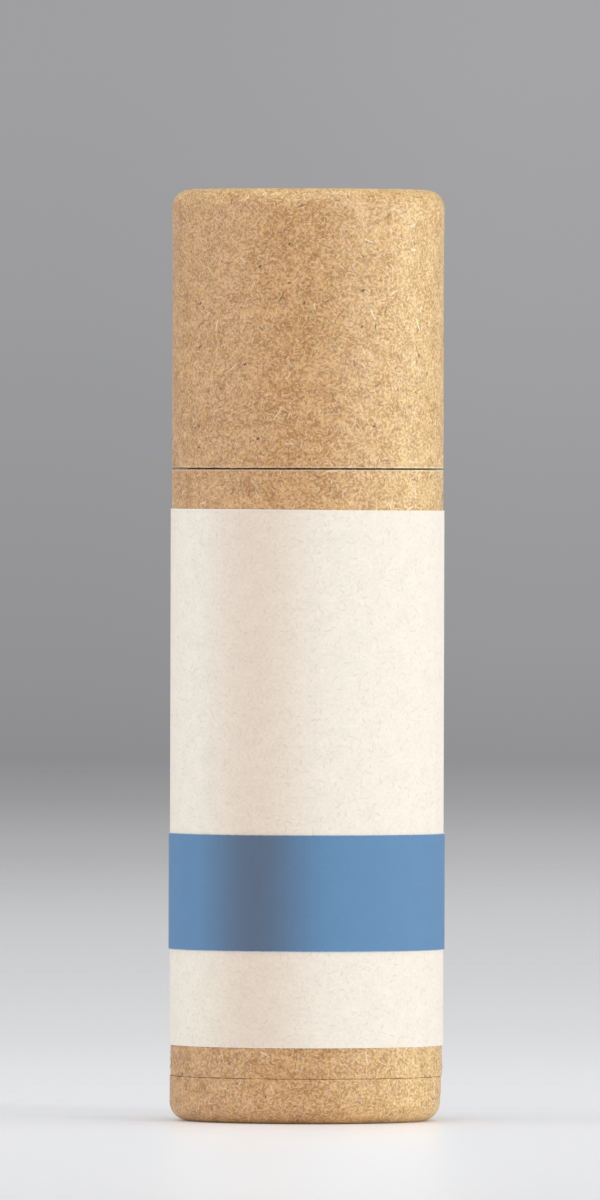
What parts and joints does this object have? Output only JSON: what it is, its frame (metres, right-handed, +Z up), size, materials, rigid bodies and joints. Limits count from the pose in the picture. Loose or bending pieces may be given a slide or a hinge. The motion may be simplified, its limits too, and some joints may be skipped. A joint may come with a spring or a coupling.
{
  "type": "lip balm stick",
  "caption": "Twist-up stick of balm in a closed kraft paper tube with a pull-off cap, a plain wrap-around label and a coloured band.",
  "frame": {"origin": "centre of the foot, on the surface that the tube stands on", "axes": "+Z up along the tube's axis towards the cap; the front of the label faces -Y"},
  "size_m": [0.0204, 0.0204, 0.0687],
  "materials": {
    "kraft_paper": "matte",
    "board": "matte",
    "pale_paper": "matte",
    "label_paper": "matte",
    "band_paper": "matte",
    "natural_plastic": "satin",
    "balm": "satin"
  },
  "bodies": {
    "body": {"sleeve_core": "board", "sleeve_wrap": "kraft_paper", "neck_tube": "board", "guide_tube": "natural_plastic", "label": "label_paper", "band": "band_paper"},
    "turn_base": {"base_core": "board", "base_wrap": "kraft_paper", "base_disc": "board", "base_paper": "kraft_paper", "turn_hub": "natural_plastic", "drive_screw": "natural_plastic"},
    "carriage": {"carriage": "natural_plastic", "balm": "balm"},
    "cap": {"cap_core": "board", "cap_wrap": "kraft_paper", "cap_liner": "pale_paper", "cap_end_disc": "board", "cap_end_paper": "kraft_paper"}
  },
  "joints": [
    {"name": "base_turn", "type": "hinge", "parent": "body", "child": "turn_base", "pos_m": [0, 0, 0], "axis": [0, 0, 1], "range_deg": [0, 2520]},
    {"name": "balm_rise", "type": "slide", "parent": "body", "child": "carriage", "axis": [0, 0, 1], "range_m": [0, 0.042]},
    {"name": "cap_pull", "type": "slide", "parent": "carriage", "child": "cap", "axis": [0, 0, 1], "range_m": [0, 0.025]}
  ],
  "couplings": [
    {"joint": "base_turn", "follows": "balm_rise", "rad_per_m": 1047.2}
  ]
}
